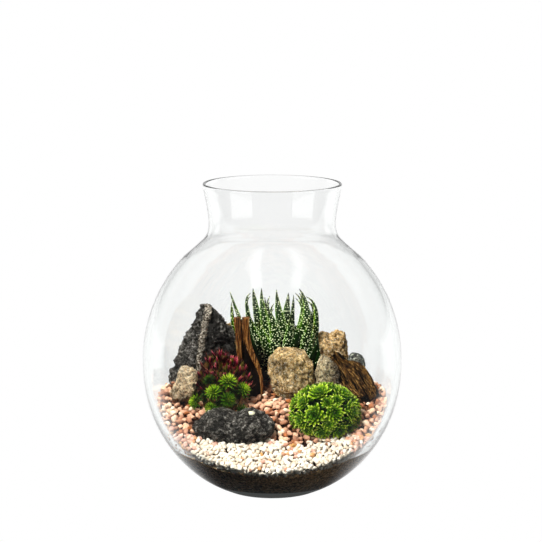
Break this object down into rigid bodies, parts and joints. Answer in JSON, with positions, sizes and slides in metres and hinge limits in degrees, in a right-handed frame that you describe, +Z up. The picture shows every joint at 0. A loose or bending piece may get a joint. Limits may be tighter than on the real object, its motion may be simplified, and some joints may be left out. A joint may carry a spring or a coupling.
{
  "type": "glass plant terrarium",
  "caption": "Open glass globe vase with a flared neck, planted with succulents, stones and driftwood on gravel over soil.",
  "frame": {"origin": "centre of the glass foot, on the surface that the vessel stands on", "axes": "+Z up along the vessel's axis, -Y to the front, where the white gravel lies, +X to the right"},
  "size_m": [0.247, 0.247, 0.294],
  "materials": {
    "clear_glass": "clear polished blown glass, faintly green where thick",
    "potting_soil": "dark crumbly soil",
    "pink_gravel": "matt salmon and pink chips",
    "white_gravel": "matt cream-white chips",
    "tan_rock": "rough speckled tan stone",
    "beige_stone": "rough speckled pale stone",
    "grey_stone": "mottled grey stone",
    "lava_rock": "rough porous black rock",
    "red_driftwood": "weathered reddish wood with deep grooves",
    "dark_driftwood": "dark ridged weathered wood",
    "haworthia_leaf": "dark green leaves with raised white dots",
    "lime_leaf": "bright lime green leaves",
    "green_leaf": "light green pointed leaves",
    "burgundy_leaf": "burgundy pointed leaves"
  },
  "bodies": {
    "root": {"glass_vessel": "clear_glass", "soil": "potting_soil", "gravel_pink": "pink_gravel", "gravel_white": "white_gravel", "stray_pebble": "white_gravel", "tan_rock_centre": "tan_rock", "tan_rock_small": "tan_rock", "tan_rock_back": "tan_rock", "tan_rock_behind": "tan_rock", "beige_stone_left": "beige_stone", "dark_stone_right": "grey_stone", "lava_rock_front": "lava_rock", "lava_rock_tall": "lava_rock", "driftwood_upright": "red_driftwood", "driftwood_right": "dark_driftwood", "haworthia_left": "haworthia_leaf", "haworthia_centre": "haworthia_leaf", "haworthia_middle": "haworthia_leaf", "haworthia_right": "haworthia_leaf", "green_cushion": "lime_leaf", "green_clump": "green_leaf", "red_clump": "burgundy_leaf"}
  },
  "joints": []
}
